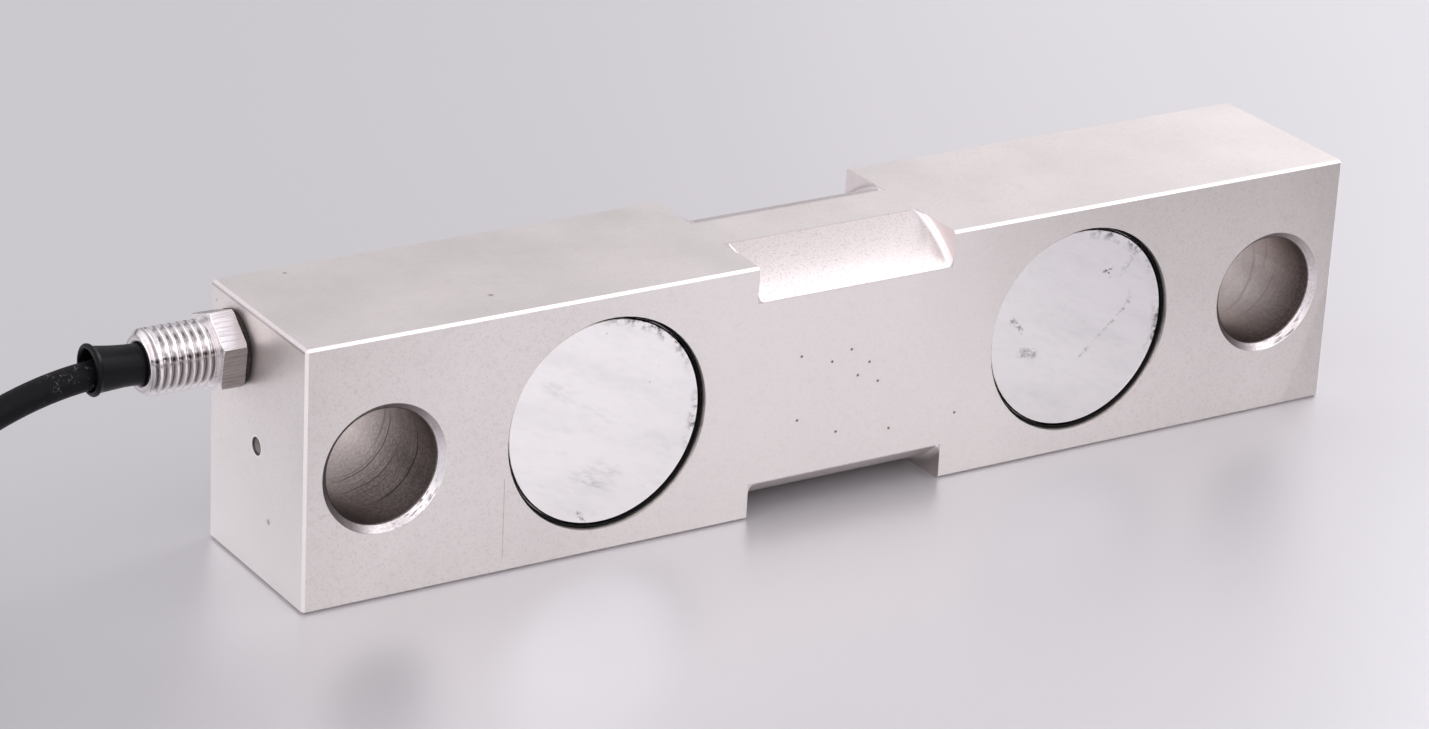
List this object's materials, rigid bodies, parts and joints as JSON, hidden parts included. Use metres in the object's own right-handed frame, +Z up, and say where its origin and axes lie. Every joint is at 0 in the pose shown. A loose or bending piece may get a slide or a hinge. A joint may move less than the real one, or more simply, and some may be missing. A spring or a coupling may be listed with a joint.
{
  "type": "double ended beam load cell",
  "caption": "Steel double ended shear beam load cell with a turned neck, round gauge covers, end holes, and a cable on a hexagon fitting.",
  "frame": {"origin": "under the middle of the beam, on the surface that it stands on", "axes": "+X along the beam away from the cable end, +Y from the front face to the back face, +Z up"},
  "size_m": [0.4241, 0.0572, 0.0492],
  "materials": {
    "plated_steel": "satin nickel plate over machined alloy steel, fine grain, bright turned edges",
    "cover_plate": "smooth bright sheet steel with faint smudges",
    "sealant": "black elastic sealant",
    "gauge_film": "amber film with a metal foil grid",
    "tinned_copper": "tinned copper",
    "gauge_coat": "milky soft protective coat",
    "inner_lead": "thin insulated leads",
    "board_laminate": "green glass laminate",
    "chip_black": "black moulded chips",
    "fitting_steel": "bright turned steel, brushed flats",
    "seal_rubber": "black rubber",
    "sleeve_rubber": "matt black moulded rubber",
    "cable_jacket": "matt black cable jacket with a little dust",
    "tie_nylon": "black moulded nylon",
    "core_red": "red insulation",
    "core_green": "green insulation",
    "core_black": "black insulation",
    "core_white": "white insulation"
  },
  "bodies": {
    "root": {"beam_body": "plated_steel", "cover_front_left": "cover_plate", "sealant_front_left": "sealant", "gauge_front_left": "gauge_film", "solder_tab_front_left": "tinned_copper", "gauge_coat_front_left": "gauge_coat", "cover_back_left": "cover_plate", "sealant_back_left": "sealant", "gauge_back_left": "gauge_film", "solder_tab_back_left": "tinned_copper", "gauge_coat_back_left": "gauge_coat", "cover_front_right": "cover_plate", "sealant_front_right": "sealant", "gauge_front_right": "gauge_film", "solder_tab_front_right": "tinned_copper", "gauge_coat_front_right": "gauge_coat", "cover_back_right": "cover_plate", "sealant_back_right": "sealant", "gauge_back_right": "gauge_film", "solder_tab_back_right": "tinned_copper", "gauge_coat_back_right": "gauge_coat", "cross_leads_left": "inner_lead", "cross_leads_right": "inner_lead", "link_leads": "inner_lead", "trim_board": "board_laminate", "trim_chips": "chip_black", "cable_cores": "inner_lead", "cable_fitting": "fitting_steel", "fitting_seal": "seal_rubber", "cable_sleeve": "sleeve_rubber", "cable_tube": "cable_jacket", "cable_hank": "cable_jacket", "hank_tie": "tie_nylon", "core_red": "core_red", "core_green": "core_green", "core_black": "core_black", "core_white": "core_white", "screen_wire": "tinned_copper"}
  },
  "joints": []
}
